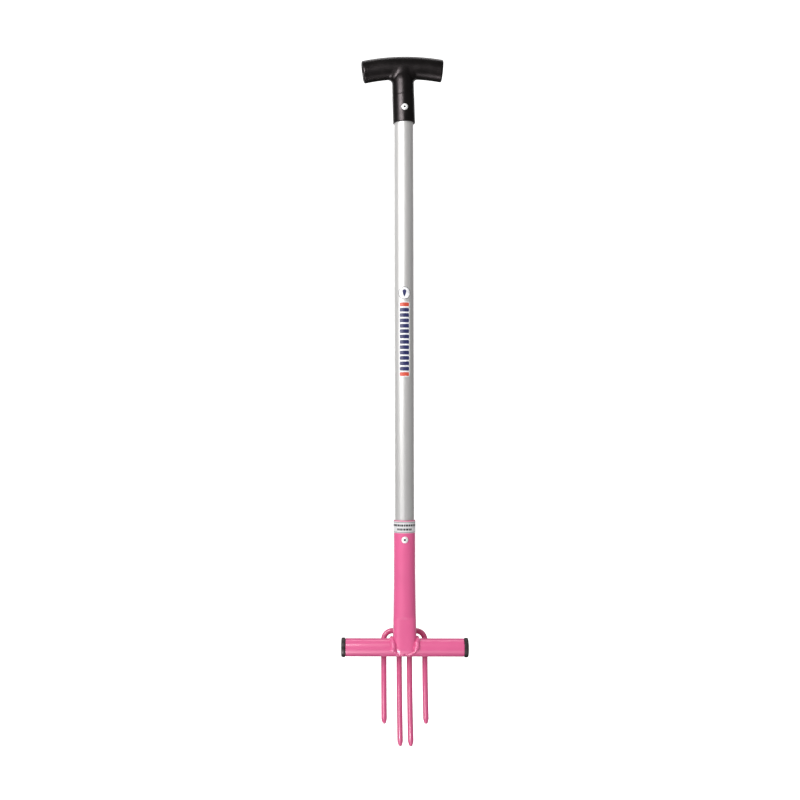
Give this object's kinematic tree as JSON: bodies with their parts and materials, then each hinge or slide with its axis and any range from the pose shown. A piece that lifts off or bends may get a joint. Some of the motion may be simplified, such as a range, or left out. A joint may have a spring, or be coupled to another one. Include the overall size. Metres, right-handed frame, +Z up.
{
  "type": "lawn aerator fork",
  "caption": "Long-handled lawn aerator fork with a T-handle, a tubular shaft, a foot bar and slim tines bent from round rod.",
  "frame": {"origin": "where the shaft's axis crosses the foot bar's axis", "axes": "+Z up the shaft towards the grip, +X along the foot bar, -Y to the front, the side with the rivets and the decal"},
  "size_m": [0.1842, 0.0503, 1.0009],
  "materials": {
    "handle_plastic": "satin moulded black plastic",
    "cap_plastic": "satin moulded black plastic",
    "shaft_aluminium": "satin drawn aluminium tube",
    "pink_coating": "glossy pink powder coat on steel",
    "rivet_aluminium": "bright aluminium",
    "mandrel_steel": "dark plated steel",
    "label_film": "printed polyester film",
    "decal_film": null
  },
  "bodies": {
    "root": {"t_handle": "handle_plastic", "handle_rivet": "rivet_aluminium", "handle_rivet_mandrel": "mandrel_steel", "shaft_tube": "shaft_aluminium", "shaft_decal": "decal_film", "socket_tube": "pink_coating", "socket_label": "label_film", "socket_rivet": "rivet_aluminium", "socket_rivet_mandrel": "mandrel_steel", "foot_bar": "pink_coating", "end_cap_left": "cap_plastic", "end_cap_right": "cap_plastic", "outer_tine_bow": "pink_coating", "inner_tine_bow": "pink_coating", "socket_weld_left": "pink_coating", "socket_weld_right": "pink_coating", "outer_tine_weld": "pink_coating", "inner_tine_weld": "pink_coating", "arch_weld": "pink_coating"}
  },
  "joints": []
}
